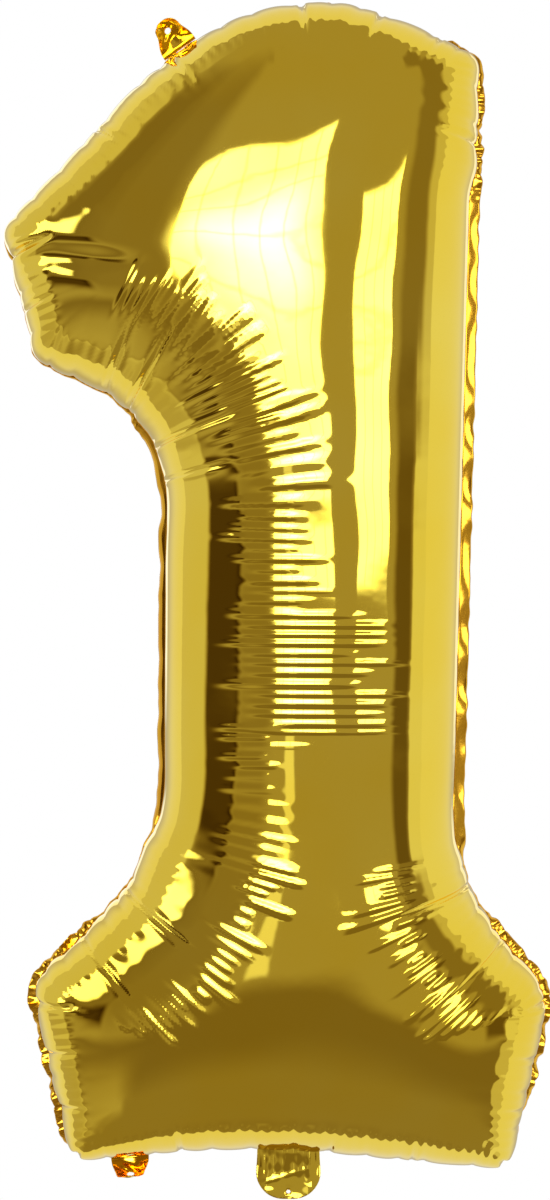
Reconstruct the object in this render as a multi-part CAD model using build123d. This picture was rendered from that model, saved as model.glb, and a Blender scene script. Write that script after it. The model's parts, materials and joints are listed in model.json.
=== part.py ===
"""Inflated foil balloon in the shape of the number one, in millimetres.

The balloon is two foil panels welded face to face round their edge, a flat filling tail with a
self-sealing film valve inside it, and two punched tabs to hang it by.

Frame: X to the right as the number is read, Y to the back, Z up. The weld lies in the plane
Y = 0, and the origin is the middle of the tail's mouth, where the balloon is filled and tied.
"""

import os
from math import cos, pi, sin, sqrt

import numpy as np
from build123d import *

# Outer edge of the welded margin: each sharp corner's X and Z, and the radius that rounds it
FLAG_TIP = (-217, 722, 11)
TOP_LEFT = (-69.5, 876, 142)
TOP_CROWN = (45.5, 897.5, 112)
TOP_RIGHT = (145.5, 851, 45)
STEM_RIGHT_FOOT = (130, 238, 107)
FOOT_RIGHT = (198, 153, 26)
BASE_RIGHT = (167, 20, 22)
BASE_MIDDLE = (-28, 38.5, 600)
BASE_LEFT = (-164, 26, 28)
FOOT_LEFT = (-195, 160.5, 19)
STEM_LEFT_FOOT = (-100.5, 255, 139)
FLAG_ARMPIT = (-98.5, 581, 86)
FLAG_HEEL = (-189.5, 622, 9)
OUTLINE = [
    FLAG_TIP,
    TOP_LEFT,
    TOP_CROWN,
    TOP_RIGHT,
    STEM_RIGHT_FOOT,
    FOOT_RIGHT,
    BASE_RIGHT,
    BASE_MIDDLE,
    BASE_LEFT,
    FOOT_LEFT,
    STEM_LEFT_FOOT,
    FLAG_ARMPIT,
    FLAG_HEEL,
]

PANEL_CORNERS = [BASE_LEFT, FLAG_TIP, TOP_RIGHT, BASE_RIGHT]  # pointed on the panels

# Envelope
MARGIN_WIDTH = 7.5  # welded margin outside the air space
MARGIN_THICKNESS = 0.6  # both plies
MARGIN_LAP = 2.5  # how far the margin's plate reaches under the panels' edges
FOIL = 0.8  # panel thickness, a stand-in for 0.05 mm foil
DEPTH = 92.0  # from the weld plane to the fullest point of one panel
CAP_LENGTH = 95.0  # the panels curve down to the weld over this distance from base and top

OUTLINE_SAMPLES = 2400

# Surface grid of a panel. Each stretch of rows ends at a height on the left side and one on the right.
ROW_STRETCHES = [(160, 153, 7), (255, 238, 3), (575, 575, 7), (628, 640, 3)]
TOP_ROWS = 9
GRID_COLUMNS = 9

# Filling tail, a flat tube of two plies that hangs from the base
TAIL_WIDTH = 49.0
TAIL_TOP = 32.4
TAIL_END_RADIUS = 21.0
TAIL_SIDE_WELD = 4.0
TAIL_PLY = 0.4
TAIL_HALF_BULGE = 1.0  # from the weld plane to the outside of a ply
TAIL_RAMP = 3.0  # width over which a ply leaves the side weld
PLY_CLEARANCE = 0.02  # from the weld plane to a ply's inside at the side weld
TIE_HOLE_RADIUS = 1.75
TIE_HOLE_HEIGHT = 5.0

# Neck, the flat tube that carries the valve through the margin
NECK_BOTTOM = 34.6
NECK_TOP = 40.8
NECK_WIDTH = 44.0
NECK_THICKNESS = 1.8
NECK_SLOT_WIDTH = 36.0
NECK_SLOT = 1.0

# Valve, two strips of clear film, each in three lengths that move apart
FILM_WIDTH = 30.0
FILM_THICKNESS = 0.15
FILM_GAP = 0.2  # between the two films
FILM_LENGTHS = {
    "tail_film": (10.0, TAIL_TOP),
    "neck_film": (NECK_BOTTOM, 44.8),
    "valve_flap": (45.3, 112.0),
}

# Hanging tabs, cut from the margin
TAB_WIDTH = 22.0
TAB_LENGTH = 24.0
TAB_FOLD = 1.5  # strip between the margin and a tab, where the foil folds
TAB_HOLE_RADIUS = 2.5
TOP_TAB_PLACE = (-81, 858)
BASE_TAB_PLACE = (-118, 28)


def outline_wire(inset=0.0, pointed=()):
    """The balloon's outline in the weld plane, moved inwards by inset, with some corners pointed."""
    corners = [(x, 0, z) for x, z, _ in OUTLINE]
    radii = [0 if corner in pointed else corner[2] for corner in OUTLINE]
    wire = FilletPolyline(*corners, radius=radii, close=True).wires()[0]
    if inset:
        wire = offset(Face(wire), -inset).faces()[0].outer_wire()
    return wire


def upright_plate(face, thickness, middle=0.0):
    """Plate of a face in the weld plane, centred on Y = middle."""
    plate = extrude(face, thickness / 2, dir=(0, 1, 0), both=True)
    return Pos(0, middle, 0) * plate


def rectangle(left, right, low, high):
    """Face in the weld plane."""
    corners = [(left, 0, low), (right, 0, low), (right, 0, high), (left, 0, high)]
    return Face(Polyline(*corners, close=True).wires()[0])


def disc(x, z, radius):
    """Round face in the weld plane."""
    circle = Edge.make_circle(radius, Plane((x, 0, z), z_dir=(0, -1, 0)))
    return Face(Wire([circle]))


# Panels


def nearest(points, place):
    """Index of the point (X, Z) that is nearest a place."""
    return int(np.argmin(np.hypot(*(points - place).T)))


def sides_of(wire):
    """Points (X, Z) on the left, top, right and bottom sides of a panel's outline.

    Left and right run upwards, top and bottom run to the right.
    """
    places = [wire @ (i / OUTLINE_SAMPLES) for i in range(OUTLINE_SAMPLES)]
    points = np.array([(place.X, place.Z) for place in places])
    tips = np.array([(vertex.X, vertex.Z) for vertex in wire.vertices()])
    cuts = []
    for x, z, _ in PANEL_CORNERS:
        tip = tips[nearest(tips, (x, z))]
        cuts.append(nearest(points, tip))
        points[cuts[-1]] = tip
    ring = np.roll(points, -cuts[0], axis=0)
    cuts = [(cut - cuts[0]) % len(points) for cut in cuts]
    if cuts[1] > cuts[3]:
        ring = np.roll(ring[::-1], 1, axis=0)
        cuts = [(len(points) - cut) % len(points) for cut in cuts]
    ring = np.vstack([ring, ring[:1]])
    left = ring[: cuts[1] + 1]
    top = ring[cuts[1] : cuts[2] + 1]
    right = ring[cuts[2] : cuts[3] + 1][::-1]
    bottom = ring[cuts[3] :][::-1]
    return left, top, right, bottom


def row_edges(left, right):
    """Points on the left and right sides where each row begins and ends, crowded at both ends."""
    levels = [(left[0, 1], right[0, 1]), *[stretch[:2] for stretch in ROW_STRETCHES]]
    levels = np.array([*levels, (left[-1, 1], right[-1, 1])], float)
    counts = [*[stretch[2] for stretch in ROW_STRETCHES], TOP_ROWS]
    steps = [np.arange(1, count + 1) / count for count in counts]
    steps[0] = steps[0] ** 2
    steps[-1] = 1 - (1 - steps[-1]) ** 2
    heights = [levels[:1]]
    for low, high, step in zip(levels[:-1], levels[1:], steps):
        heights.append(low + step[:, None] * (high - low))
    heights = np.vstack(heights)
    middle = heights.mean(axis=1)
    shares = (middle - middle[0]) / (middle[-1] - middle[0])
    starts, ends = [
        np.column_stack([np.interp(height, side[:, 1], side[:, 0]), height])
        for side, height in ((left, heights[:, 0]), (right, heights[:, 1]))
    ]
    return list(zip(shares, starts, ends))


def across(side, share):
    """Point of the top or bottom side at a share of its width."""
    x = side[0, 0] + share * (side[-1, 0] - side[0, 0])
    return np.array([x, np.interp(x, side[:, 0], side[:, 1])])


def cap(distance):
    """Share of the full depth at a distance from the top or bottom side."""
    reach = min(round(distance / CAP_LENGTH, 9), 1.0)
    return sqrt(1 - (1 - reach) ** 2)


def panel_grid(inset):
    """Rows of points over one panel's surface, in front of the weld plane.

    The plan is a patch blended between the four sides. Each row's section is half an ellipse.
    """
    left, top, right, bottom = sides_of(outline_wire(MARGIN_WIDTH + inset, PANEL_CORNERS))
    corners = left[0], left[-1], right[0], right[-1]
    rows = []
    for up, start, end in row_edges(left, right):
        row = []
        for j in range(GRID_COLUMNS):
            angle = pi * j / (GRID_COLUMNS - 1)
            share = (1 - cos(angle)) / 2
            base, crown = across(bottom, share), across(top, share)
            sides_blend = (1 - share) * start + share * end
            ends_blend = (1 - up) * base + up * crown
            corner_blend = (1 - up) * ((1 - share) * corners[0] + share * corners[2])
            corner_blend = corner_blend + up * ((1 - share) * corners[1] + share * corners[3])
            place = sides_blend + ends_blend - corner_blend
            ends = cap(np.hypot(*(place - base))) * cap(np.hypot(*(place - crown)))
            depth = (DEPTH - inset) * round(sin(angle), 9) * ends
            row.append((place[0], -depth, place[1]))
        rows.append(row)
    return np.array(rows)


def with_handles(rows):
    """Rows of points with two Bezier handles between each row and the next."""
    slopes = np.gradient(rows, axis=0)
    spaced = np.empty((3 * len(rows) - 2, *rows.shape[1:]))
    spaced[::3] = rows
    spaced[1::3] = rows[:-1] + slopes[:-1] / 3
    spaced[2::3] = rows[1:] - slopes[1:] / 3
    return spaced


def bulge(inset):
    """Closed solid between one panel's smooth surface and the weld plane."""
    net = with_handles(panel_grid(inset))
    net = with_handles(net.transpose(1, 0, 2)).transpose(1, 0, 2)
    patches = []
    for i in range(0, len(net) - 1, 3):
        for j in range(0, len(net[0]) - 1, 3):
            handles = net[i : i + 4, j : j + 4]
            patches.append(Face.make_bezier_surface([[tuple(p) for p in row] for row in handles]))
    border = np.vstack([net[0], net[1:, -1], net[-1, -2::-1], net[-2::-1, 0]])
    edges = [
        Edge.make_bezier(*[tuple(p) for p in border[i : i + 4]])
        for i in range(0, len(border) - 1, 3)
    ]
    return Solid(Shell([*patches, Face(Wire(edges))]))


def front_panel():
    """Foil shell whose edge lies against the margin's front face."""
    return Pos(0, -MARGIN_THICKNESS / 2, 0) * (bulge(0.0) - bulge(FOIL))


# Margin, neck, tail and tabs


def flat_tube(width, low, high):
    """Neck sleeve: a flat tube open at both ends."""
    outside = upright_plate(rectangle(-width / 2, width / 2, low, high), NECK_THICKNESS)
    slot = rectangle(-NECK_SLOT_WIDTH / 2, NECK_SLOT_WIDTH / 2, low - 1, high + 1)
    return outside - upright_plate(slot, NECK_SLOT)


def seam_margin():
    """Welded margin all round the balloon, with the neck sleeve through its base."""
    ring = Face(outline_wire(), [outline_wire(MARGIN_WIDTH + MARGIN_LAP)])
    plate = upright_plate(ring, MARGIN_THICKNESS)
    gap = rectangle(-NECK_SLOT_WIDTH / 2, NECK_SLOT_WIDTH / 2, 0, NECK_TOP + 2 * MARGIN_WIDTH)
    return plate - upright_plate(gap, NECK_THICKNESS) + flat_tube(NECK_WIDTH, NECK_BOTTOM, NECK_TOP)


def tail_outline():
    """Face of the tail, square at the top and round at the mouth."""
    half, radius = TAIL_WIDTH / 2, TAIL_END_RADIUS
    corners = [(-half, 0, TAIL_TOP), (-half, 0, 0), (half, 0, 0), (half, 0, TAIL_TOP)]
    wire = FilletPolyline(*corners, radius=[0, radius, radius, 0], close=True).wires()[0]
    return Face(wire)


def front_tail_ply():
    """Front ply of the tail: a shallow tray that meets the other ply along its side welds."""
    half, weld = TAIL_WIDTH / 2, TAIL_SIDE_WELD
    inner, rim = half - weld - TAIL_RAMP, half - weld
    low, high = PLY_CLEARANCE, TAIL_HALF_BULGE - TAIL_PLY
    inside = [(-half, low), (-rim, low), (-inner, high), (inner, high), (rim, low), (half, low)]
    outside = [(x, y + TAIL_PLY) for x, y in reversed(inside)]
    section = Face(Polyline(*[(x, -y, 0) for x, y in inside + outside], close=True).wires()[0])
    tray = extrude(section, TAIL_TOP, dir=(0, 0, 1))
    plan = tail_outline() - disc(0, TIE_HOLE_HEIGHT, TIE_HOLE_RADIUS)
    return tray & upright_plate(plan, 4 * TAIL_HALF_BULGE)


def front_film(low, high):
    """One length of the front valve film."""
    strip = rectangle(-FILM_WIDTH / 2, FILM_WIDTH / 2, low, high)
    return upright_plate(strip, FILM_THICKNESS, -(FILM_GAP + FILM_THICKNESS) / 2)


def hanging_tab(place):
    """Punched tab that stands out from the margin at a place on its edge."""
    wire = outline_wire()
    root = wire.closest_points(Vertex(place[0], 0, place[1]))[0]
    tangent = wire.tangent_at(wire.param_at_point(root))
    out = tangent.cross(Vector(0, 1, 0))
    if Face(wire).is_inside(root + out):
        out = -out
    start = root + out * TAB_FOLD
    half = tangent * (TAB_WIDTH / 2)
    end = out * TAB_LENGTH
    corners = [start - half, start - half + end, start + half + end, start + half]
    radius = TAB_WIDTH / 2 - 0.01
    blank = Face(FilletPolyline(*corners, radius=[0, radius, radius, 0], close=True).wires()[0])
    hole = start + out * (TAB_LENGTH - TAB_WIDTH / 2)
    return upright_plate(blank - disc(hole.X, hole.Z, TAB_HOLE_RADIUS), MARGIN_THICKNESS)


def main():
    os.makedirs("parts", exist_ok=True)
    parts = {
        "seam_margin": seam_margin(),
        "top_hanging_tab": hanging_tab(TOP_TAB_PLACE),
        "base_hanging_tab": hanging_tab(BASE_TAB_PLACE),
    }
    fronts = {"foil_panel": front_panel(), "tail_ply": front_tail_ply()}
    for name, (low, high) in FILM_LENGTHS.items():
        fronts[name] = front_film(low, high)
    for name, shape in fronts.items():
        parts[f"front_{name}"] = shape
        parts[f"back_{name}"] = mirror(shape, Plane.XZ)
    for name, shape in parts.items():
        export_step(shape, f"parts/{name}.step")


main()
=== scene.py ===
"""Gold foil balloon in the shape of the number one: its looks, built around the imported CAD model.

Lengths are in metres in the CAD model's frame: X to the right, Y to the back, Z up. The weld lies in
the plane Y = 0. Each foil panel is a height field over the outline of its CAD node: an even inflated
form, and on it the creases that gather along the weld.
"""

import json
import math

import bmesh
import bpy
import numpy as np
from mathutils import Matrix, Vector
from mathutils.geometry import delaunay_2d_cdt


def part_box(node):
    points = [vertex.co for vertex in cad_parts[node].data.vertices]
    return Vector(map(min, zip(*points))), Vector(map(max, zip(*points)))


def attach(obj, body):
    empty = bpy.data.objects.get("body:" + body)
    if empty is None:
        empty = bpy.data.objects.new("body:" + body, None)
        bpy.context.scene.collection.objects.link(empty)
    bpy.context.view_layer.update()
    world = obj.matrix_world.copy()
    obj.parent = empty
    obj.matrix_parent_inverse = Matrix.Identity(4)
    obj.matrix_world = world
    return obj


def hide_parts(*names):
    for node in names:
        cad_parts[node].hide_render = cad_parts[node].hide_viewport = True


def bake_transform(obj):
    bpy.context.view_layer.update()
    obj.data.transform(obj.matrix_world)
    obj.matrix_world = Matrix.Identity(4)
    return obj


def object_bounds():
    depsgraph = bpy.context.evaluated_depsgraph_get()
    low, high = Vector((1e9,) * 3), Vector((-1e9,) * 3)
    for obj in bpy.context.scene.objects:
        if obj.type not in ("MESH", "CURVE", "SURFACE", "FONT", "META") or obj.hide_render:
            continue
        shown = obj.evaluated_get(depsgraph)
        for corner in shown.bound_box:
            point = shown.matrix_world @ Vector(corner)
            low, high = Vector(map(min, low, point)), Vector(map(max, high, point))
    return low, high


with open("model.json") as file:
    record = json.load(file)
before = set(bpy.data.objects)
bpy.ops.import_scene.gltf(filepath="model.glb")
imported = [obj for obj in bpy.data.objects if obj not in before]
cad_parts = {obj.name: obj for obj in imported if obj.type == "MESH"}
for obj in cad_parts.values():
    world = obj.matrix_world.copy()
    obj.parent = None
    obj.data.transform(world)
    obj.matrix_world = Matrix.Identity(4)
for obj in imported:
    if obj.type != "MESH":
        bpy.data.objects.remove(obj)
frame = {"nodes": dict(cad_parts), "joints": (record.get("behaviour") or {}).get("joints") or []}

cad_box = [list(corner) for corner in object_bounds()]

FRONT, BACK = -1, 1  # the side of the weld plane, as the sign of Y

# Envelope
FULLNESS = 0.333  # height of a section is this times its width measure to the power below
SQUARENESS = 0.42  # 0.5 gives elliptical sections, less gives flatter ones with steeper rims
LOWER_SLACK = 0.06  # share of the height that the stem loses towards the foot
DETAIL = {FRONT: (600, 220), BACK: (500, 176)}
END_SHARE = 0.10  # share of the rows that crowd towards the top and base welds
SIDE_SHARE = 0.20  # share of the columns that crowd towards each side weld
END_FADE = 3  # how fast the bow of the top and base welds leaves the rows next to them
STEM_ROWS = 1.5  # how much closer the rows stand in the stem than in the foot and the head
CORNER_ROUNDING = 0.006  # reach of the bell curve that eases the outline's corners
RIM_SAMPLE = 0.0005  # spacing of the points along the weld
PUFF_PITCH = 0.0265  # spacing of the puffs by which the rim stands out between the gathers
PUFF_LEAST, PUFF_MORE = 0.0030, 0.0022  # how far it stands out at least, and how much more at most
PUFF_REACH = 0.014  # how far in from the weld the puffs still shift the foil
NOTCH_REACH = 0.006  # half length of the rim's dip at a long crease
WAVE_HEIGHT = 0.0006  # of the broad uneven waves on each panel
RIM_CALM = 0.0015  # width of the strip at the weld that has no creases

# Heights on the outline's left side that bound its stretches
FOOT_TOP = 0.160
STEM_BOTTOM = 0.262
STEM_TOP = 0.560
HEEL = 0.628
FOOT_LOWER, STEM_LOWER, HEEL_HIGHER = 0.006, 0.020, 0.012  # how the right differs from the left

# Hanging tabs: half width, length from the weld, the strip behind the margin, and the hole's radius
TAB_HALF, TAB_LENGTH = 0.011, 0.0255
TAB_OVERLAP = 0.0025
TAB_HOLE = 0.0025

# Thickness of the sheets outside the envelope
MARGIN_FILM = 0.00025
TAIL_FILM = 0.0002


# Outline of the weld


def node_triangles(name):
    """Vertices and triangles of a CAD node's mesh, with doubled vertices merged."""
    mesh = frame["nodes"][name].data
    mesh.calc_loop_triangles()
    places = np.array([vertex.co for vertex in mesh.vertices])
    triangles = np.array([triangle.vertices for triangle in mesh.loop_triangles])
    merged, index = np.unique(np.round(places, 7), axis=0, return_inverse=True)
    return merged, index.ravel()[triangles]


def enclosed(loop):
    """Signed area inside a closed loop of (X, Z) points, positive when it runs anticlockwise."""
    after = np.roll(loop, -1, axis=0)
    return 0.5 * np.sum(loop[:, 0] * after[:, 1] - after[:, 0] * loop[:, 1])


def flat_border(name, level):
    """Outer border, anticlockwise (X, Z) points, of a node's flat face in the plane Y = level."""
    places, triangles = node_triangles(name)
    on_plane = (np.abs(places[triangles][:, :, 1] - level) < 1e-6).all(axis=1)
    sides = np.sort(triangles[on_plane][:, [[0, 1], [1, 2], [2, 0]]].reshape(-1, 2), axis=1)
    sides, uses = np.unique(sides, axis=0, return_counts=True)
    neighbours = {}
    for a, b in sides[uses == 1].tolist():
        neighbours.setdefault(a, []).append(b)
        neighbours.setdefault(b, []).append(a)
    loops = []
    while neighbours:
        loop = [next(iter(neighbours))]
        while True:
            onward = [n for n in neighbours.pop(loop[-1]) if n in neighbours]
            if not onward:
                break
            loop.append(onward[0])
        loops.append(places[loop][:, [0, 2]])
    border = max(loops, key=lambda loop: abs(enclosed(loop)))
    return border if enclosed(border) > 0 else border[::-1]


def evenly(points, count, closed=True):
    """Points spaced evenly along a line."""
    line = np.vstack([points, points[:1]]) if closed else points
    run = np.concatenate([[0], np.cumsum(np.hypot(*np.diff(line, axis=0).T))])
    places = np.linspace(0, run[-1], count, endpoint=not closed)
    return np.column_stack([np.interp(places, run, line[:, k]) for k in (0, 1)])


def smoothed_loop(points, reach, spacing):
    """A closed loop smoothed along its length with a bell curve of that reach."""
    steps = np.arange(-4 * reach, 4 * reach + spacing, spacing)
    bell = np.exp(-0.5 * (steps / reach) ** 2)
    bell /= bell.sum()
    half = len(bell) // 2
    padded = np.vstack([points[-half:], points, points[: len(bell) - 1 - half]])
    return np.column_stack([np.convolve(padded[:, k], bell, mode="valid") for k in (0, 1)])


def weld_line():
    """Inner edge of the weld: the rim of the front panel, with its four pointed corners eased."""
    border = flat_border("front_foil_panel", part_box("front_foil_panel")[1].y)
    length = np.hypot(*np.diff(np.vstack([border, border[:1]]), axis=0).T).sum()
    line = evenly(border, int(length / RIM_SAMPLE))
    return smoothed_loop(line, CORNER_ROUNDING, RIM_SAMPLE)


def four_sides(loop):
    """Bottom, right, top and left sides of the loop; left and right run up, the others to the right."""
    x, z = loop.T
    base_left, base_right = np.argmin(x + z), np.argmax(x - z)
    top_right, flag_tip = np.argmax(x + z), np.argmin(x)
    ring = np.roll(loop, -base_left, axis=0)
    cuts = [(cut - base_left) % len(loop) for cut in (base_right, top_right, flag_tip)]
    ring = np.vstack([ring, ring[:1]])
    bottom, right = ring[: cuts[0] + 1], ring[cuts[0] : cuts[1] + 1]
    top, left = ring[cuts[1] : cuts[2] + 1][::-1], ring[cuts[2] :][::-1]
    return bottom, right, top, left


# Even inflated form


def crowded(count, ends):
    """Shares from 0 to 1 whose spacing shrinks to nothing over a share of them at each end."""
    steps = (np.arange(count) + 0.5) / count
    inwards = np.minimum(steps, 1 - steps) / ends
    widths = np.sin(np.minimum(inwards, 1) * math.pi / 2)
    return np.concatenate([[0], np.cumsum(widths)]) / widths.sum()


def along(side, shares):
    """Points at shares of a side's length."""
    run = np.concatenate([[0], np.cumsum(np.hypot(*np.diff(side, axis=0).T))])
    return np.column_stack([np.interp(shares * run[-1], run, side[:, k]) for k in (0, 1)])


def paired_heights(left, right, shares):
    """Points on the left and right sides that the same row of the grid joins."""
    stops = [(FOOT_TOP, FOOT_TOP - FOOT_LOWER), (STEM_BOTTOM, STEM_BOTTOM - STEM_LOWER)]
    stops += [(STEM_TOP, STEM_TOP), (HEEL, HEEL + HEEL_HIGHER)]
    levels = np.array([(left[0, 1], right[0, 1]), *stops, (left[-1, 1], right[-1, 1])])
    gaps = np.diff(levels.mean(axis=1)) * [1, STEM_ROWS, STEM_ROWS, STEM_ROWS, 1]
    at = np.concatenate([[0], np.cumsum(gaps)]) / gaps.sum()
    pair = []
    for side, heights in ((left, levels[:, 0]), (right, levels[:, 1])):
        height = np.interp(shares, at, heights)
        pair.append(np.column_stack([np.interp(height, side[:, 1], side[:, 0]), height]))
    return pair


def plan_grid(loop, rows, columns):
    """Grid of (X, Z) points over the outline, blended between its four sides."""
    bottom, right, top, left = four_sides(loop)
    up, over = crowded(rows, END_SHARE), crowded(columns, SIDE_SHARE)
    starts, ends = paired_heights(left, right, up)
    base, crown = along(bottom, over), along(top, over)
    u, v = over[:, None], up[:, None, None]
    base_bow = base - (1 - u) * base[0] - u * base[-1]
    crown_bow = crown - (1 - u) * crown[0] - u * crown[-1]
    level = (1 - u) * starts[:, None] + u * ends[:, None]
    return level + (1 - v) ** END_FADE * base_bow + v**END_FADE * crown_bow


def border_of(grid):
    """Indices (row, column) round the grid's border, anticlockwise from the base's left end."""
    rows, columns = grid.shape[:2]
    bottom = [(0, j) for j in range(columns - 1)]
    right = [(i, columns - 1) for i in range(rows - 1)]
    top = [(rows - 1, j) for j in range(columns - 1, 0, -1)]
    left = [(i, 0) for i in range(rows - 1, 0, -1)]
    return np.array(bottom + right + top + left)


class Weld:
    """The border of the plan as a line with a running length, and every grid point's place on it."""

    def __init__(self, grid):
        index = border_of(grid)
        self.line = grid[index[:, 0], index[:, 1]]
        after = np.roll(self.line, -1, axis=0)
        self.lengths = np.hypot(*(after - self.line).T)
        self.run = np.concatenate([[0], np.cumsum(self.lengths)])[:-1]
        self.total = self.lengths.sum()
        self.ways = (after - self.line) / np.maximum(self.lengths, 1e-12)[:, None]
        rows, columns = grid.shape[:2]
        self.right_chain = slice(columns - 1, columns + rows - 1)
        self.left_chain = slice(2 * columns + rows - 3, None)
        self.measure(grid.reshape(-1, 2))
        self.width = np.minimum(self.width, 2 * self.near["all"][0])

    def measure(self, points):
        """Width measure of every point, and its nearest place on the whole line and on each side."""
        count = len(points)
        self.width = np.zeros(count)
        self.near = {name: (np.zeros(count), np.zeros(count)) for name in ("all", "left", "right")}
        chains = {"all": slice(None), "left": self.left_chain, "right": self.right_chain}
        batch = 2000
        for start in range(0, count, batch):
            part = slice(start, start + batch)
            away = self.line[None] - points[part, None]
            reach = np.hypot(away[:, :, 0], away[:, :, 1])
            begins = np.einsum("psk,sk->ps", away, self.ways)
            ends = begins + self.lengths
            depth = away[:, :, 1] * self.ways[:, 0] - away[:, :, 0] * self.ways[:, 1]
            reach_after = np.roll(reach, -1, axis=1)
            turn = ends / np.maximum(reach_after, 1e-12) - begins / np.maximum(reach, 1e-12)
            depth = np.where(np.abs(depth) < 1e-9, np.inf, -depth)
            self.width[part] = 2 / np.maximum(np.sum(turn / depth, axis=1), 1e-9)
            for name, chain in chains.items():
                self.nearest(name, chain, part, begins, away)

    def nearest(self, name, chain, part, begins, away):
        """Fills in the distance to a chain of the line and the running length there."""
        passed = np.clip(-begins[:, chain], 0, self.lengths[chain])
        foot = away[:, chain] + passed[:, :, None] * self.ways[chain]
        gap = np.hypot(foot[:, :, 0], foot[:, :, 1])
        best = np.argmin(gap, axis=1)
        rows = np.arange(len(best))
        self.near[name][0][part] = gap[rows, best]
        self.near[name][1][part] = self.run[chain][best] + passed[rows, best]

    def place(self, x, z):
        """Running length of the point of the line nearest to a place."""
        return self.run[np.argmin(np.hypot(*(self.line - (x, z)).T))]

    def at_height(self, side, height):
        """Running length where the left or right side reaches a height."""
        chain = self.left_chain if side == "left" else self.right_chain
        heights, run = self.line[chain][:, 1], self.run[chain]
        order = np.argsort(heights)
        return np.interp(height, heights[order], run[order])


# Creases


def smooth(low, high, value):
    """Smooth step from 0 at low to 1 at high."""
    t = np.clip((value - low) / (high - low), 0, 1)
    return t * t * (3 - 2 * t)


def bump(low, high, edge, value):
    """1 between low and high, and 0 an edge beyond them."""
    return smooth(low - edge, low, value) * (1 - smooth(high, high + edge, value))


def gathers(run, away, start, end, pitch, begin, finish, height, seed, uneven):
    """Fine folds square to the weld, between two places on it.

    Each fold has its own width, height and length: it begins and finishes at its own distances from
    the weld, drawn from the ranges begin and finish. Uneven is the share by which the folds differ.
    """
    draw = np.random.default_rng(seed)
    edges = [start]
    while edges[-1] < end:
        edges.append(edges[-1] + pitch * draw.uniform(1 - 0.4 * uneven, 1 + 0.4 * uneven))
    edges = np.array(edges)
    count = len(edges)
    tall = draw.uniform(1 - uneven, 1, count)
    begins = begin[0] + (begin[1] - begin[0]) * draw.uniform(0, 1, count)
    finishes = finish[0] + (finish[1] - finish[0]) * draw.uniform(0, 1, count) ** 1.2
    fold = np.clip(np.searchsorted(edges, run) - 1, 0, count - 2)
    share = np.clip((run - edges[fold]) / (edges[fold + 1] - edges[fold]), 0, 1)
    profile = np.sin(math.pi * share) ** 2
    soft = 0.3 * (finishes - begins)[fold]
    length = smooth(begins[fold], begins[fold] + soft, away)
    length = length * (1 - smooth(finishes[fold] - soft, finishes[fold], away))
    fade = 0.004
    inside = bump(start + fade, end - fade, fade, run)
    return height * tall[fold] * profile * length * inside


def signed_gap(run, where, total):
    """How far running lengths lie past a place on the closed weld, negative before it."""
    return (run - where + total / 2) % total - total / 2


def fold_line(run, away, total, where, length, width, depth, slant):
    """One long crease that runs in from the weld: a narrow valley with a low ridge on each side."""
    off = signed_gap(run - slant * away, where, total)
    fade = smooth(0, 0.003, away) * (1 - smooth(0.35 * length, length, away))
    valley = np.exp(-((off / width) ** 2)) - 0.5 * np.exp(-((off / (2.4 * width)) ** 2))
    return -1.35 * depth * valley * fade


# Long creases: X and Z where each leaves the weld, its length, width and depth, and its slant
LONG_CREASES = [
    (-0.092, 0.851, 0.036, 0.0022, 0.0030, 0.0),
    (-0.137, 0.789, 0.028, 0.0018, 0.0026, 0.0),
    (0.009, 0.889, 0.044, 0.0024, 0.0034, 0.0),
    (0.071, 0.884, 0.034, 0.0022, 0.0030, 0.0),
    (0.116, 0.866, 0.022, 0.0016, 0.0018, 0.0),
    (0.143, 0.783, 0.034, 0.0020, 0.0026, 0.1),
    (-0.196, 0.703, 0.040, 0.0026, 0.0034, 0.0),
    (-0.190, 0.662, 0.024, 0.0018, 0.0020, 0.0),
    (-0.132, 0.606, 0.062, 0.0016, 0.0024, -0.1),
    (-0.112, 0.596, 0.070, 0.0016, 0.0026, -0.1),
    (-0.096, 0.560, 0.100, 0.0016, 0.0028, 0.0),
    (-0.092, 0.535, 0.060, 0.0014, 0.0018, 0.0),
    (-0.186, 0.150, 0.050, 0.0024, 0.0032, 0.1),
    (-0.178, 0.112, 0.026, 0.0020, 0.0022, 0.0),
    (-0.168, 0.072, 0.022, 0.0018, 0.0020, 0.0),
    (-0.154, 0.040, 0.050, 0.0028, 0.0036, 0.0),
    (-0.080, 0.041, 0.022, 0.0018, 0.0018, 0.0),
    (0.030, 0.042, 0.018, 0.0018, 0.0016, 0.0),
    (0.092, 0.037, 0.022, 0.0018, 0.0018, 0.0),
    (0.158, 0.032, 0.050, 0.0028, 0.0036, 0.0),
    (0.168, 0.070, 0.022, 0.0018, 0.0020, 0.0),
    (0.178, 0.108, 0.026, 0.0020, 0.0022, 0.0),
    (0.186, 0.148, 0.050, 0.0024, 0.0032, -0.1),
    (0.160, 0.196, 0.060, 0.0016, 0.0022, 0.0),
    (0.134, 0.236, 0.070, 0.0016, 0.0024, 0.0),
    (-0.150, 0.196, 0.060, 0.0016, 0.0022, 0.0),
    (-0.118, 0.232, 0.070, 0.0016, 0.0024, 0.0),
]


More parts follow.
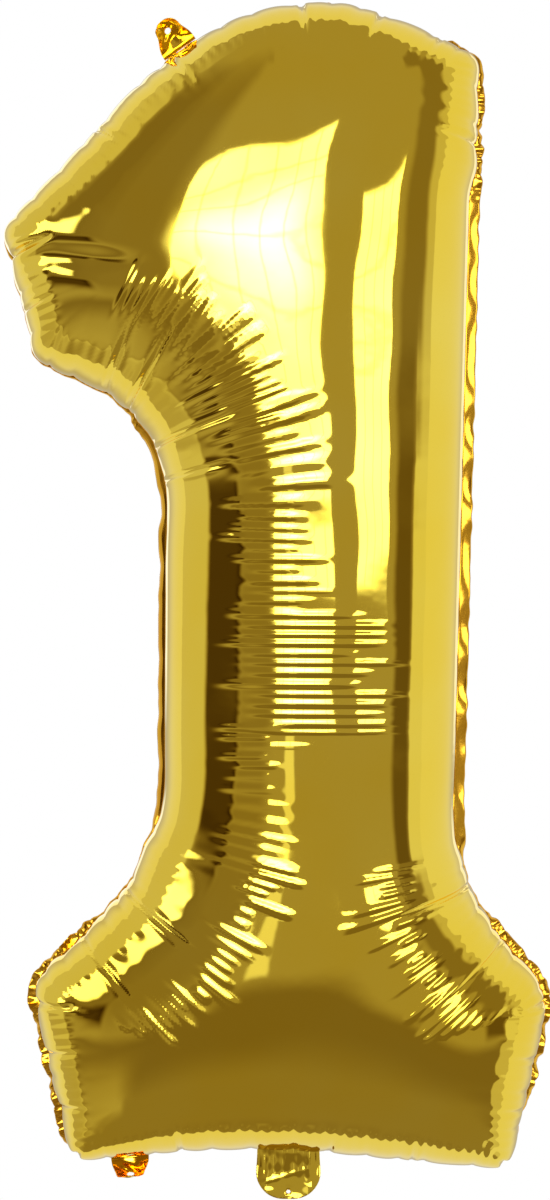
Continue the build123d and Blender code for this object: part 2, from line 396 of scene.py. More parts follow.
# Fans of fine folds at the stem: side, lowest and highest place, pitch, the ranges of distance from the
# weld where the folds begin and finish, height, and unevenness
FANS = [
    ("left", 0.545, 0.612, 0.0040, (0.014, 0.050), (0.084, 0.100), 0.0008, 0.6),
    ("left", 0.545, 0.600, 0.0040, (0.040, 0.080), (0.096, 0.118), 0.0008, 0.6),
    ("left", 0.430, 0.560, 0.0072, (0.030, 0.060), (0.100, 0.140), 0.00075, 0.6),
    ("left", 0.350, 0.440, 0.0072, (0.030, 0.055), (0.150, 0.192), 0.0009, 0.5),
    ("left", 0.270, 0.360, 0.0074, (0.030, 0.050), (0.080, 0.120), 0.0005, 0.6),
    ("left", 0.150, 0.280, 0.0050, (0.046, 0.078), (0.085, 0.118), 0.0011, 0.6),
    ("right", 0.150, 0.262, 0.0044, (0.020, 0.050), (0.060, 0.105), 0.0011, 0.6),
]

# Folds all round the weld, in the same terms from the pitch on
ROUND_GATHERS = [
    (0.0074, (0.001, 0.004), (0.024, 0.030), 0.00055, 0.35),
    (0.0165, (0.0005, 0.003), (0.016, 0.060), 0.00025, 0.6),
]


def creases(weld, side):
    """Height of all creases over the even form, for each point of the grid."""
    away, run = weld.near["all"]
    seed = 11 if side == FRONT else 71
    loose = 1 - 0.85 * stem_share(weld, run)
    folds = np.zeros(len(run))
    for *fold, uneven in ROUND_GATHERS:
        folds += loose * gathers(run, away, 0, weld.total, *fold, seed, uneven)
        seed += 1
    for name, low, high, *fold, uneven in FANS:
        side_away, side_run = weld.near[name]
        start, end = sorted((weld.at_height(name, low), weld.at_height(name, high)))
        folds += gathers(side_run, side_away, start, end, *fold, seed, uneven)
        seed += 1
    draw = np.random.default_rng(seed + 1)
    for x, z, length, width, depth, slant in LONG_CREASES:
        where = weld.place(x, z) + draw.uniform(-0.004, 0.004) * (side == BACK)
        folds += fold_line(run, away, weld.total, where, length, width, depth, slant)
    return folds


# Broad valleys: X and Z of each end, the width and the depth
DEEP_FOLDS = [
    ((-0.212, 0.703), (-0.085, 0.681), 0.0095, 0.0046),
]


def deep_folds(points):
    """Height of the broad valleys, for points of the plan."""
    total = np.zeros(len(points))
    for start, end, width, depth in DEEP_FOLDS:
        start, end = np.array(start), np.array(end)
        length = np.hypot(*(end - start))
        way = (end - start) / length
        share = (points - start) @ way / length
        off = (points - start) @ np.array([-way[1], way[0]])
        fade = smooth(0, 0.25, share) * (1 - smooth(0.55, 1.0, share))
        total -= depth * fade * np.exp(-((off / width) ** 2))
    return total


def waves(points, seed, height):
    """Broad uneven waves, as sums of a few sines."""
    draw = np.random.default_rng(seed)
    total = np.zeros(len(points))
    for _ in range(7):
        angle, pitch = draw.uniform(0, 2 * math.pi), draw.uniform(0.06, 0.16)
        phase = draw.uniform(0, 2 * math.pi)
        way = np.array([math.cos(angle), math.sin(angle)])
        total += np.sin(points @ way * 2 * math.pi / pitch + phase)
    return height * total / 7


# Stretches of the weld, as start and end (X, Z) places going anticlockwise, where the margin shows
# beyond the foil, and how upright it stands there from 0, folded back, to 1
MARGIN_SHOWS = [
    ((0.196, 0.075), (0.160, 0.205), 0.85),
    ((0.120, 0.270), (0.140, 0.760), 0.95),
    ((0.145, 0.770), (0.125, 0.862), 0.75),
    ((0.062, 0.890), (-0.060, 0.884), 0.35),
    ((-0.098, 0.600), (-0.100, 0.290), 0.45),
    ((-0.150, 0.200), (-0.168, 0.050), 0.85),
]


def stretch(weld, run, start, end, edge):
    """1 on a stretch of the weld that runs anticlockwise from start to end, and 0 an edge beyond."""
    first, length = weld.place(*start), (weld.place(*end) - weld.place(*start)) % weld.total
    passed = (run - first + edge) % weld.total - edge
    return bump(0, length, edge, passed)


def margin_stand(weld, run):
    """How upright the margin stands at places along the weld, from 0 to 1."""
    return np.max([amount * stretch(weld, run, a, b, 0.02) for a, b, amount in MARGIN_SHOWS], axis=0)


def stem_share(weld, run):
    """1 along both sides of the stem, where the weld is taut, and 0 elsewhere."""
    left = stretch(weld, run, (-0.098, STEM_TOP), (-0.100, 0.29), 0.03)
    return np.maximum(left, stretch(weld, run, (0.120, 0.27), (0.135, 0.74), 0.03))


def outward_shift(weld):
    """How far the rim stands out of the CAD panel's rim, for places along the weld.

    It puffs out between the gathers and dips at each long crease, and lies on the CAD rim at the stem.
    """
    run = weld.run
    loose = 1 - stem_share(weld, run)
    puffs = np.abs(np.sin(math.pi * run / PUFF_PITCH + 1.1 * ripple(run, weld.total, 0.09, 9)))
    shift = loose * (PUFF_LEAST + PUFF_MORE * np.sqrt(puffs))
    for x, z, _, _, depth, _ in LONG_CREASES:
        off = signed_gap(run, weld.place(x, z), weld.total)
        shift -= 0.8 * depth * np.exp(-np.abs(off) / NOTCH_REACH) * loose
    return shift


def ripple(run, total, pitch, seed):
    """Smooth uneven wave round the weld, from -1 to 1, that closes on itself."""
    draw = np.random.default_rng(seed)
    turns = total / pitch
    wave = np.zeros(len(run))
    for _ in range(5):
        count = max(1, round(turns * draw.uniform(0.6, 1.5)))
        wave += np.sin(2 * math.pi * count * run / total + draw.uniform(0, 2 * math.pi))
    return wave / 3


def outward_ways(weld):
    """Unit vectors out of the outline at each place along the weld."""
    before, after = np.roll(weld.line, 6, axis=0), np.roll(weld.line, -6, axis=0)
    tangent = after - before
    tangent /= np.maximum(np.hypot(*tangent.T), 1e-12)[:, None]
    return np.column_stack([tangent[:, 1], -tangent[:, 0]])


def around(weld, values, run):
    """Values given along the weld, read at running lengths."""
    line = np.concatenate([weld.run, [weld.total]])
    return np.interp(run % weld.total, line, np.concatenate([values, values[:1]]))


def surface_normals(places):
    """Unit normals of a grid of places."""
    down = np.gradient(places, axis=0)
    over = np.gradient(places, axis=1)
    normal = np.cross(over, down)
    return normal / np.maximum(np.linalg.norm(normal, axis=2), 1e-12)[:, :, None]


def panel_places(grid, weld, side):
    """Grid of places on one foil panel."""
    points = grid.reshape(-1, 2)
    away, run = weld.near["all"]
    height = FULLNESS * weld.width**SQUARENESS
    height *= 1 - LOWER_SLACK * (1 - smooth(STEM_BOTTOM - 0.02, STEM_TOP - 0.10, points[:, 1]))
    height += deep_folds(points)
    shift, ways = outward_shift(weld), outward_ways(weld)
    lift = around(weld, shift, run) * np.exp(-away / PUFF_REACH)
    out = np.column_stack([around(weld, ways[:, k], run) for k in (0, 1)])
    moved = points + out * lift[:, None]
    flat = np.column_stack([moved[:, 0], side * height, moved[:, 1]]).reshape(*grid.shape[:2], 3)
    normals = surface_normals(flat) * -side
    wave_seed = 5 if side == FRONT else 8
    rise = creases(weld, side) + waves(points, wave_seed, WAVE_HEIGHT) * smooth(0, 0.05, away)
    return flat + normals * (rise * smooth(0, RIM_CALM, away)).reshape(grid.shape[:2])[:, :, None]


def grid_mesh(name, places, flip=False):
    """Object made of a grid of places."""
    rows, columns = places.shape[:2]
    index = np.arange(rows * columns).reshape(rows, columns)
    corners = [index[:-1, :-1], index[:-1, 1:], index[1:, 1:], index[1:, :-1]]
    quads = np.stack(corners, axis=-1).reshape(-1, 4)
    if flip:
        quads = quads[:, ::-1]
    mesh = bpy.data.meshes.new(name)
    mesh.from_pydata(places.reshape(-1, 3).tolist(), [], quads.tolist())
    mesh.update()
    mesh.shade_smooth()
    piece = bpy.data.objects.new(name, mesh)
    bpy.context.scene.collection.objects.link(piece)
    return piece


# Materials


def new_material(name):
    """Node material, with its node tree, its main shader and a helper that adds nodes."""
    material = bpy.data.materials.new(name)
    material.use_nodes = True
    tree = material.node_tree
    shader = tree.nodes["Principled BSDF"]

    def add(kind, **settings):
        node = tree.nodes.new(kind)
        for key, value in settings.items():
            if key in node.inputs:
                node.inputs[key].default_value = value
            else:
                setattr(node, key, value)
        return node

    return material, tree, shader, add


def foil_material(name, colour, second_colour, roughness, dent, dent_scale):
    """Metallised film: a mirror that is slightly uneven in tone, sheen and surface."""
    material, tree, shader, add = new_material(name)
    link = tree.links.new
    where = add("ShaderNodeTexCoord")
    tone = add("ShaderNodeTexNoise", Scale=9.0, Detail=3.0)
    link(where.outputs["Object"], tone.inputs["Vector"])
    mix = add("ShaderNodeMix", data_type="RGBA")
    mix.inputs["A"].default_value = (*colour, 1)
    mix.inputs["B"].default_value = (*second_colour, 1)
    spread = add("ShaderNodeMapRange")
    spread.inputs["From Min"].default_value = 0.35
    spread.inputs["From Max"].default_value = 0.75
    link(tone.outputs["Fac"], spread.inputs["Value"])
    link(spread.outputs["Result"], mix.inputs["Factor"])
    link(mix.outputs["Result"], shader.inputs["Base Color"])
    shader.inputs["Metallic"].default_value = 1.0
    sheen = add("ShaderNodeTexNoise", Scale=60.0, Detail=4.0)
    link(where.outputs["Object"], sheen.inputs["Vector"])
    rough = add("ShaderNodeMapRange")
    rough.inputs["To Min"].default_value = roughness * 0.7
    rough.inputs["To Max"].default_value = roughness * 1.4
    link(sheen.outputs["Fac"], rough.inputs["Value"])
    link(rough.outputs["Result"], shader.inputs["Roughness"])
    dents = add("ShaderNodeTexNoise", Scale=dent_scale, Detail=2.0)
    link(where.outputs["Object"], dents.inputs["Vector"])
    relief = add("ShaderNodeBump", Distance=dent, Strength=1.0)
    link(dents.outputs["Fac"], relief.inputs["Height"])
    link(relief.outputs["Normal"], shader.inputs["Normal"])
    return material


def film_material():
    """Clear heat-sealed film with faint cloudy patches."""
    material, tree, shader, add = new_material("valve_film")
    link = tree.links.new
    where = add("ShaderNodeTexCoord")
    cloud = add("ShaderNodeTexNoise", Scale=180.0, Detail=3.0)
    link(where.outputs["Object"], cloud.inputs["Vector"])
    rough = add("ShaderNodeMapRange")
    rough.inputs["To Min"].default_value = 0.08
    rough.inputs["To Max"].default_value = 0.3
    link(cloud.outputs["Fac"], rough.inputs["Value"])
    link(rough.outputs["Result"], shader.inputs["Roughness"])
    shader.inputs["Base Color"].default_value = (0.93, 0.94, 0.92, 1)
    shader.inputs["Alpha"].default_value = 0.35
    relief = add("ShaderNodeBump", Distance=0.0002, Strength=0.6)
    link(cloud.outputs["Fac"], relief.inputs["Height"])
    link(relief.outputs["Normal"], shader.inputs["Normal"])
    return material


GOLD = (1.0, 0.70, 0.055)
PALE_GOLD = (1.0, 0.74, 0.09)
AMBER = (0.97, 0.55, 0.04)
PALE_AMBER = (1.0, 0.64, 0.045)
# The next colour is painted shade: it makes the welded margin darker than the tabs, because the margin
# lies behind the balloon's bulge.
PAINTED_SHADE_AMBER = (0.86, 0.42, 0.03)

gold_foil = foil_material("gold_foil", GOLD, PALE_GOLD, 0.035, 0.00006, 40.0)
weld_foil = foil_material("weld_foil", AMBER, PALE_AMBER, 0.09, 0.00015, 160.0)
# The margin's foil is the tabs' amber foil made darker: painted shade for the margin behind the bulge.
margin_foil = foil_material("margin_foil", PAINTED_SHADE_AMBER, AMBER, 0.12, 0.0001, 120.0)
clear_film = film_material()


def finish_piece(piece, material, slot, body, *nodes):
    """Gives a piece its material, lets it ride on a body, and hides the nodes it stands for. The slot is
    not used.
    """
    piece.data.materials.clear()
    piece.data.materials.append(material)
    if nodes:
        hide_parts(*nodes)
    if body:
        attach(piece, body)


# Envelope pieces

line = weld_line()
for side, word in ((FRONT, "front"), (BACK, "back")):
    plan = plan_grid(line, *DETAIL[side])
    weld = Weld(plan)
    panel = grid_mesh(f"{word}_foil_sheet", panel_places(plan, weld, side), flip=side == BACK)
    finish_piece(panel, gold_foil, "gold_foil", "envelope", f"{word}_foil_panel")


def tab_frame(node):
    """Root point on the weld plane and outward direction of a CAD tab, from its box and joint."""
    joint = next(j for j in frame["joints"] if j["child"] == node.replace("_hanging", ""))
    place, axis = np.array(joint["pos_m"])[[0, 2]], np.array(joint["axis"])[[0, 2]]
    out = np.array([-axis[1], axis[0]])
    low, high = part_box(node)
    middle = np.array([(low.x + high.x) / 2, (low.z + high.z) / 2])
    if out @ (middle - place) < 0:
        out = -out
    into_margin = 0.00075
    return place - out * into_margin, out


# Margin: its lean to the back in radians where it stands up, where it is folded back, and at the tabs,
# and its width as a share of the CAD margin's, with the pitch and depth of its scallops
LEAN_UPRIGHT, LEAN_FOLDED, LEAN_AT_TAB = 0.15, 1.45, 0.32
MARGIN_WIDTH, SCALLOP_PITCH, SCALLOP_DEPTH = 1.08, 0.019, 0.34
MARGIN_OVERLAP = 0.0008  # how far the margin runs in under the foil's rim
CRINKLE_PITCH, CRINKLE_HEIGHT = 0.006, 0.0007


def margin_tilt(weld, run, stand):
    """Angle by which the margin leans out of the weld plane to the back, in radians."""
    total = weld.total
    lobes = 0.55 * ripple(run, total, 0.031, 3) + 0.22 * ripple(run, total, 0.012, 4)
    loose = 1 - stem_share(weld, run)
    tilt = LEAN_UPRIGHT + (LEAN_FOLDED - LEAN_UPRIGHT) * (1 - stand)
    tilt += loose * lobes * (0.3 + 0.7 * stand) + 0.18 * ripple(run, total, 0.05, 5)
    for node in ("top_hanging_tab", "base_hanging_tab"):
        off = signed_gap(run, weld.place(*tab_frame(node)[0]), total)
        tilt += (LEAN_AT_TAB - tilt) * bump(-TAB_HALF, TAB_HALF, 0.009, off)
    return tilt


def margin_reach(weld, run, stand):
    """Width of the margin from the weld to its scalloped edge."""
    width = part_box("seam_margin")[1].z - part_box("front_foil_panel")[1].z
    loose = 1 - stem_share(weld, run)
    phase = math.pi * run / SCALLOP_PITCH + 1.3 * ripple(run, weld.total, 0.08, 8)
    scallops = SCALLOP_DEPTH * loose * stand * np.sqrt(np.abs(np.sin(phase)))
    return width * (MARGIN_WIDTH + 0.05 * ripple(run, weld.total, 0.02, 6) + scallops)


def margin_piece(weld):
    """Welded margin: a ribbon outside the weld that ruffles where the outline curves."""
    count, across = ((3000, 9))
    run = np.linspace(0, weld.total, count, endpoint=False)
    stand = margin_stand(weld, run)
    line = np.column_stack([around(weld, weld.line[:, k], run) for k in (0, 1)])
    ways = np.column_stack([around(weld, outward_ways(weld)[:, k], run) for k in (0, 1)])
    ways /= np.hypot(*ways.T)[:, None]
    start = around(weld, outward_shift(weld), run)
    tilt = margin_tilt(weld, run, stand)
    reach = margin_reach(weld, run, stand) - start
    crinkle = ripple(run, weld.total, CRINKLE_PITCH, 7) * CRINKLE_HEIGHT * (1 - stem_share(weld, run))
    rows = []
    for share in np.linspace(0, 1, across):
        bend = tilt * (0.35 + 0.65 * share)
        out = start + share * reach * np.cos(bend) - MARGIN_OVERLAP * (1 - share)
        back = share * reach * np.sin(bend) + share * crinkle
        place = line + ways * out[:, None]
        rows.append(np.column_stack([place[:, 0], back, place[:, 1]]))
    grid = np.array(rows)
    grid = np.concatenate([grid, grid[:, :1]], axis=1)
    piece = grid_mesh("welded_margin", grid)
    merge = bmesh.new()
    merge.from_mesh(piece.data)
    bmesh.ops.remove_doubles(merge, verts=merge.verts, dist=1e-7)
    merge.to_mesh(piece.data)
    merge.free()
    thicken(piece, MARGIN_FILM)
    # Its foil is darker than the tabs' foil: painted shade.
    finish_piece(piece, margin_foil, "margin_foil", "envelope", "seam_margin")


def thicken(piece, thickness):
    """Gives a sheet its thickness, half to each side."""
    modifier = piece.modifiers.new("thickness", "SOLIDIFY")
    modifier.thickness = thickness
    modifier.offset = 0


margin_piece(weld)  # the back panel's weld, which follows the same line as the front one's


# Tail and tabs


def sheet(name, outline, holes, spacing, shape):
    """Sheet cut to an outline of (u, v) points with holes, and bent by shape(u, v) into places."""
    outline = [tuple(point) for point in outline]
    points, edges, groups = [], [], [outline, *holes]
    for group in groups:
        first = len(points)
        points += [tuple(point) for point in group]
        edges += [(first + i, first + (i + 1) % len(group)) for i in range(len(group))]
    low, high = np.min(outline, axis=0), np.max(outline, axis=0)
    row_spacing = spacing * 0.87
    for row, v in enumerate(np.arange(low[1] + spacing / 2, high[1], row_spacing)):
        for u in np.arange(low[0] + spacing * (0.25 + 0.5 * (row % 2)), high[0], spacing):
            if all(apart(u, v, group) > 0.6 * spacing for group in groups):
                points.append((u, v))
    cut = delaunay_2d_cdt([Vector(point) for point in points], edges, [], 0, 1e-9)
    corners, faces = cut[0], cut[2]
    kept = []
    for face in faces:
        u = sum(corners[i].x for i in face) / len(face)
        v = sum(corners[i].y for i in face) / len(face)
        if within(u, v, outline) and not any(within(u, v, hole) for hole in holes):
            kept.append(face)
    mesh = bpy.data.meshes.new(name)
    mesh.from_pydata([shape(corner.x, corner.y) for corner in corners], [], kept)
    lone = bmesh.new()
    lone.from_mesh(mesh)
    bmesh.ops.delete(lone, geom=[v for v in lone.verts if not v.link_faces], context="VERTS")
    bmesh.ops.recalc_face_normals(lone, faces=lone.faces)
    lone.to_mesh(mesh)
    lone.free()
    mesh.shade_smooth()
    piece = bpy.data.objects.new(name, mesh)
    bpy.context.scene.collection.objects.link(piece)
    return piece


def apart(u, v, group):
    """Distance from a point to the nearest corner of a closed line."""
    return min(math.hypot(u - a, v - b) for a, b in group)


def within(u, v, group):
    """True when a point lies inside a closed line."""
    inside = False
    for (a, b), (c, d) in zip(group, [*group[1:], group[0]]):
        if (b > v) != (d > v) and u < a + (v - b) * (c - a) / (d - b):
            inside = not inside
    return inside


def circle(u, v, radius, count=24):
    """Points round a circle."""
    turn = 2 * math.pi / count
    return [(u + radius * math.cos(i * turn), v + radius * math.sin(i * turn)) for i in range(count)]


def rounded_strip(half, top, radius, spacing):
    """Outline of a strip from v = 0 at its rounded end to v = top."""
    turns = np.linspace(0, math.pi / 2, 14)
    corner = [(half - radius + radius * math.sin(a), radius - radius * math.cos(a)) for a in turns]
    side = [(half, v) for v in np.arange(radius + spacing, top, spacing)]
    right = corner + side + [(half, top)]
    upper = [(u, top) for u in np.arange(half - spacing, -half + spacing / 2, -spacing)]
    left = [(-u, v) for u, v in reversed(right)]
    return right + upper + left


# Tail: how far it runs up behind the base weld, its end's corner radius, its tie hole, and its pleats
TAIL_OVERLAP = 0.0095
TAIL_CORNER = 0.021
TIE_HEIGHT, TIE_RADIUS = 0.005, 0.00175
TAIL_BASE = 0.036  # height where the pleats that the base weld gathers are full
PLEAT_PITCH, PLEAT_HEIGHT = 0.0068, 0.0007


def tail_pieces():
    """The two plies of the filling tail, creased by the gathered base above them.

    Their flat shape has u across and v up from the tail's end.
    """
    low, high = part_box("front_tail_ply")
    half, top = (high.x - low.x) / 2, high.z + TAIL_OVERLAP
    for side, word in ((FRONT, "front"), (BACK, "back")):
        phases = np.random.default_rng(21 + side).uniform(0, 2 * math.pi, 8)

        def shape(u, v):
            edge = 1 - smooth(0.62, 1.0, abs(u) / half)
            upper = smooth(0.010, TAIL_BASE, v)
            full = (0.0017 + 0.0013 * upper) * edge + 0.0001
            bent = u * 2 * math.pi / PLEAT_PITCH + phases[0] + 1.5 * math.sin(u * 150 + phases[1])
            pleat = PLEAT_HEIGHT * upper * math.sin(bent)
            creased = 0.00006 * math.sin((v + 0.25 * u) * 2 * math.pi / 0.011 + phases[2])
            creased += 0.00007 * math.sin((v - 0.6 * u) * 2 * math.pi / 0.019 + phases[3])
            across = math.exp(-(((v - 0.018 - 0.3 * u) / 0.0016) ** 2))
            creased += 0.00030 * across * smooth(-half, 0.0, -u)
            narrow = 1 - 0.05 * upper
            sway = 0.0005 * math.sin(u * 2 * math.pi / 0.045 + 1.0) * (1 - upper)
            sway -= 0.055 * (1 - upper) * (TAIL_BASE - v)
            return (u * narrow, side * (full + (pleat + creased) * edge) + sway, v)

        outline = rounded_strip(half, top, TAIL_CORNER, 0.0016)
        hole = circle(0, TIE_HEIGHT, TIE_RADIUS)
        ply = sheet(f"{word}_tail_sheet", outline, [hole], 0.0011, shape)
        thicken(ply, TAIL_FILM)
        finish_piece(ply, gold_foil, "gold_foil", None, f"{word}_tail_ply")
        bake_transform(ply)


def tab_piece(name, node, root, out, curl, cup, crumple, seed):
    """Hanging tab, cupped along its length and curled about the weld, and crumpled.

    Its flat shape has u across and v out from the weld. Curl is how much further the end leans than
    the root, in radians, cup is a curvature in radians per metre, and crumple is a height.
    """
    tangent = np.array([out[1], -out[0]])
    phases = np.random.default_rng(seed).uniform(0, 2 * math.pi, 8)

    root_lean, root_widening = 0.45, 0.28

    def shape(u, v):
        share, before = max(v, 0) / TAB_LENGTH, min(v, 0)
        wide = u * (1 + root_widening * (1 - smooth(0, 0.7, share)))
        turn = wide * cup * smooth(0, 0.6, share) + 1e-9
        sideways, forward = wide * math.sin(turn) / turn, -wide * (1 - math.cos(turn)) / turn
        lean = root_lean + curl * share**1.3
        reach = TAB_LENGTH * share * math.sin(lean) / lean + forward * math.sin(lean) * 0.5 + before
        front = -TAB_LENGTH * share * (1 - math.cos(lean)) / lean + forward - 0.5 * before
        dent = crumple * share * math.sin(u * 620 + phases[0] + 3 * math.sin(v * 260 + phases[1]))
        dent += 0.7 * crumple * share * math.sin(v * 480 + u * 300 + phases[2])
        place = root + tangent * (sideways + 0.3 * dent) + out * reach
        return (place[0], front + dent, place[1])

    straight, step = TAB_LENGTH - TAB_HALF, 0.0012
    turns = np.linspace(0, math.pi, 24)
    outline = [(-TAB_HALF, -TAB_OVERLAP), (TAB_HALF, -TAB_OVERLAP)]
    outline += [(TAB_HALF, v) for v in np.arange(0, straight, step)]
    outline += [(TAB_HALF * math.cos(a), straight + TAB_HALF * math.sin(a)) for a in turns]
    outline += [(-TAB_HALF, v) for v in np.arange(straight - step, -0.0001, -step)]
    tab = sheet(name, outline, [circle(0, straight, TAB_HOLE)], 0.0008, shape)
    thicken(tab, MARGIN_FILM)
    finish_piece(tab, weld_foil, "margin_foil", None, node)
    return tab


tail_pieces()

for name, body, curl, cup, crumple, seed in (
    ("top_hanging_tab", "top_tab", 0.7, 75.0, 0.0007, 31),
    ("base_hanging_tab", "base_tab", 1.7, 60.0, 0.0013, 37),
):
    root, out = tab_frame(name)
    tab = tab_piece(name.replace("_tab", "_loop"), name, root, out, curl, cup, crumple, seed)
    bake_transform(tab)


# Valve films: their CAD strips are the right shape, and need only their material

for name, node in frame["nodes"].items():
    if name.endswith(("film", "flap")):
        node.data.materials.clear()
        node.data.materials.append(clear_film)


# Studio: pale floor, soft light, and a room that the mirror foil reflects


def studio_floor():
    """Pale floor. Mirror rays pass it, so that the foil shows the room alone."""
    floor_height, half = cad_box[0][2] - 0.0015, 6
    corners = [[(x, y, floor_height) for x in (-half, half)] for y in (-half, half)]
    floor = grid_mesh("studio_floor", np.array(corners))
    material, tree, shader, add = new_material("studio_floor")
    shader.inputs["Base Color"].default_value = (0.93, 0.93, 0.92, 1)
    shader.inputs["Roughness"].default_value = 0.8
    glow = add("ShaderNodeEmission", Strength=1.0)
    path = add("ShaderNodeLightPath")
    mix = add("ShaderNodeMixShader")
    tree.links.new(path.outputs["Is Camera Ray"], mix.inputs["Fac"])
    tree.links.new(shader.outputs["BSDF"], mix.inputs[1])
    tree.links.new(glow.outputs["Emission"], mix.inputs[2])
    through = add("ShaderNodeBsdfTransparent")
    mirrored = add("ShaderNodeMixShader")
    tree.links.new(path.outputs["Is Glossy Ray"], mirrored.inputs["Fac"])
    tree.links.new(mix.outputs[0], mirrored.inputs[1])
    tree.links.new(through.outputs[0], mirrored.inputs[2])
    tree.links.new(mirrored.outputs[0], tree.nodes["Material Output"].inputs["Surface"])
    floor.data.materials.append(material)


# Directions in the room are an azimuth to the right of straight ahead of the balloon's front, and an
# elevation, both in degrees. A patch has the light that it adds, its left, right, low and high edge,
# and how soft its upright and its level edges are.
ROOM_LEVEL, ROOM_DARKEST = 0.37, 0.03
ROOM_PATCHES = [
    (-0.30, -77, -48, -7, 6, 2.0, 4.0),  # dark furniture at the left
    (-0.16, -77, -48, 6, 60, 6.0, 6.0),  # dim wall above it
    (-0.12, -48, -24, -8, 60, 5.0, 12.0),  # dim wall beside the large window
    (0.16, -80, -34, -50, -22, 8.0, 8.0),  # lit floor at the left
    (0.25, -120, -79, -50, 60, 2.0, 12.0),  # bright wall at the far left
    (-0.24, 54, 68, -10, 3, 2.5, 3.0),  # dark furniture at the right
    (-0.14, 54, 74, 3, 60, 3.0, 3.0),  # dim wall above it
    (0.36, 69, 110, -60, 3, 1.0, 3.0),  # bright wall at the far right
    (0.20, 74, 110, 3, 60, 3.0, 3.0),  # its upper part
    (2.5, -82, -56, 13, 29, 2.0, 2.0),  # lamp at the left
    (0.50, -13, -8, -12, -2, 0.7, 1.0),  # light strip under the large window
    (9.0, -18, 8, 8, 18, 8.0, 6.0),  # glare in the large window
    (-0.17, -180, 180, -90, -14, 1.0, 3.0),  # floor
    (0.07, -180, 180, -90, -36, 1.0, 12.0),  # floor near the balloon
]

# Windows: left, right, low and high edge, and the places of their upright and level bars
WINDOW_LIGHT, WINDOW_SOFTNESS = 3.5, (0.5, 0.8)
WINDOWS = [
    (-22, 14, -2, 29, (-17, -10, -3, 4, 10), (6, 13, 20, 24)),
    (28, 48, -1, 15, (33, 38, 43), (5, 10)),
]
BAR_HALF_WIDTH, RAIL_HALF_WIDTH, BAR_SOFTNESS, BAR_DIMMING = 0.25, 0.2, 0.25, 0.45

# White studio behind: it begins where Y of a direction passes a line that is slanted along X
STUDIO_FROM, STUDIO_SLANT, STUDIO_SOFTNESS = 0.15, -0.27, 0.012
STUDIO_LEVEL = 0.78
STUDIO_PATCHES = [
    (-0.26, -195, -145, -30, 35, 14.0, 8.0),  # shade behind, in two halves that meet at 180 degrees
    (-0.26, 145, 195, -30, 35, 14.0, 8.0),
    (0.6, -170, -155, -2, 26, 1.0, 1.0),  # two lamp panels
    (0.5, 148, 160, -4, 30, 1.0, 1.0),
]

# Dim places are warmer: each channel falls off with a power of the light, up to a full level
FULL_LEVEL, MOST_SHARE = 0.6, 1.2
WARMTH = (("Green", 0.22), ("Blue", 0.7))


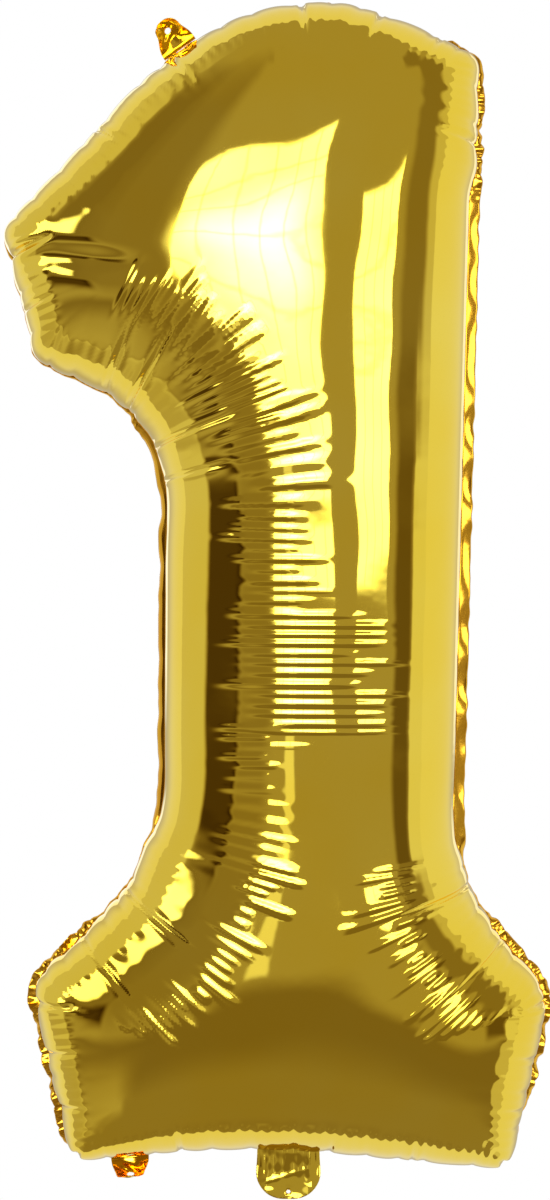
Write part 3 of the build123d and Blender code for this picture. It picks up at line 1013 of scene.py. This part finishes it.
def room_world():
    """World that the foil mirrors: a white studio behind, and before it a dim room with two windows."""
    world = bpy.data.worlds.new("studio_room")
    bpy.context.scene.world = world
    world.use_nodes = True
    tree = world.node_tree
    tree.nodes.clear()
    link = tree.links.new

    def math_node(operation, *values):
        node = tree.nodes.new("ShaderNodeMath")
        node.operation = operation
        for socket, value in zip(node.inputs, values):
            if isinstance(value, (int, float)):
                socket.default_value = value
            else:
                link(value, socket)
        return node.outputs[0]

    def add(first, second):
        return math_node("ADD", first, second)

    def times(first, second):
        return math_node("MULTIPLY", first, second)

    def ramp(value, middle, soft, below=0.0, above=1.0):
        node = tree.nodes.new("ShaderNodeMapRange")
        node.interpolation_type = "SMOOTHSTEP"
        link(value, node.inputs["Value"])
        node.inputs["From Min"].default_value = middle - soft
        node.inputs["From Max"].default_value = middle + soft
        node.inputs["To Min"].default_value = below
        node.inputs["To Max"].default_value = above
        return node.outputs[0]

    where = tree.nodes.new("ShaderNodeTexCoord")
    split = tree.nodes.new("ShaderNodeSeparateXYZ")
    link(where.outputs["Generated"], split.inputs[0])
    x, y, z = split.outputs
    azimuth = times(math_node("ARCTAN2", x, times(y, -1.0)), 180 / math.pi)
    elevation = times(math_node("ARCSINE", z), 180 / math.pi)

    def band(value, low, high, soft):
        return times(ramp(value, low, soft), ramp(value, high, soft, 1.0, 0.0))

    def patch(left, right, low, high, soft, soft_height):
        return times(band(azimuth, left, right, soft), band(elevation, low, high, soft_height))

    def with_patches(level, patches):
        for strength, *area in patches:
            level = add(level, times(patch(*area), strength))
        return level

    panes = [(WINDOW_LIGHT, *window[:4], *WINDOW_SOFTNESS) for window in WINDOWS]
    level = with_patches(ROOM_LEVEL, ROOM_PATCHES + panes)
    for left, right, low, high, uprights, rails in WINDOWS:
        bars = [(at - BAR_HALF_WIDTH, at + BAR_HALF_WIDTH, low, high) for at in uprights]
        bars += [(left, right, at - RAIL_HALF_WIDTH, at + RAIL_HALF_WIDTH) for at in rails]
        for bar in bars:
            shade = times(patch(*bar, BAR_SOFTNESS, BAR_SOFTNESS), BAR_DIMMING)
            level = times(level, math_node("SUBTRACT", 1.0, shade))

    edge = add(STUDIO_FROM, times(x, STUDIO_SLANT))
    behind = ramp(math_node("SUBTRACT", y, edge), 0, STUDIO_SOFTNESS)
    studio = times(behind, with_patches(STUDIO_LEVEL, STUDIO_PATCHES))
    room = times(math_node("SUBTRACT", 1.0, behind), math_node("MAXIMUM", level, ROOM_DARKEST))
    seen = add(studio, room)
    colour = tree.nodes.new("ShaderNodeCombineColor")
    link(seen, colour.inputs["Red"])
    for channel, power in WARMTH:
        share = math_node("MINIMUM", math_node("DIVIDE", seen, FULL_LEVEL), MOST_SHARE)
        link(times(seen, math_node("POWER", share, power)), colour.inputs[channel])

    path = tree.nodes.new("ShaderNodeLightPath")
    view = tree.nodes.new("ShaderNodeMix")
    view.data_type = "RGBA"
    link(path.outputs["Is Camera Ray"], view.inputs["Factor"])
    link(colour.outputs["Color"], view.inputs["A"])
    view.inputs["B"].default_value = (1, 1, 1, 1)
    background = tree.nodes.new("ShaderNodeBackground")
    link(view.outputs["Result"], background.inputs["Color"])
    output = tree.nodes.new("ShaderNodeOutputWorld")
    link(background.outputs[0], output.inputs["Surface"])


def soft_light():
    """Large soft lamp above and to the left."""
    lamp = bpy.data.lights.new("soft_key", "AREA")
    lamp.energy, lamp.size = 18.0, 1.6
    holder = bpy.data.objects.new("soft_key", lamp)
    holder.location = (-1.4, -1.6, 2.2)
    aim = Vector((0, 0, 0.4)) - holder.location
    holder.rotation_euler = aim.to_track_quat("-Z", "Y").to_euler()
    holder.visible_glossy = False
    bpy.context.scene.collection.objects.link(holder)


def front_camera():
    """Camera straight in front, so that the balloon's height just fills the frame."""
    low, high = [Vector(corner) for corner in cad_box]
    lens_distance, frame_room = 2.0, 1.0035
    camera = bpy.data.cameras.new("front_camera")
    camera.sensor_width = 36.0
    camera.lens = camera.sensor_width * lens_distance / ((high.z - low.z) * frame_room)
    holder = bpy.data.objects.new("front_camera", camera)
    holder.location = ((low.x + high.x) / 2, -lens_distance, (low.z + high.z) / 2)
    holder.rotation_euler = (math.pi / 2, 0, 0)
    bpy.context.scene.collection.objects.link(holder)
    bpy.context.scene.camera = holder
    bpy.context.scene.view_settings.view_transform = "Standard"


studio_floor()
room_world()
soft_light()
front_camera()
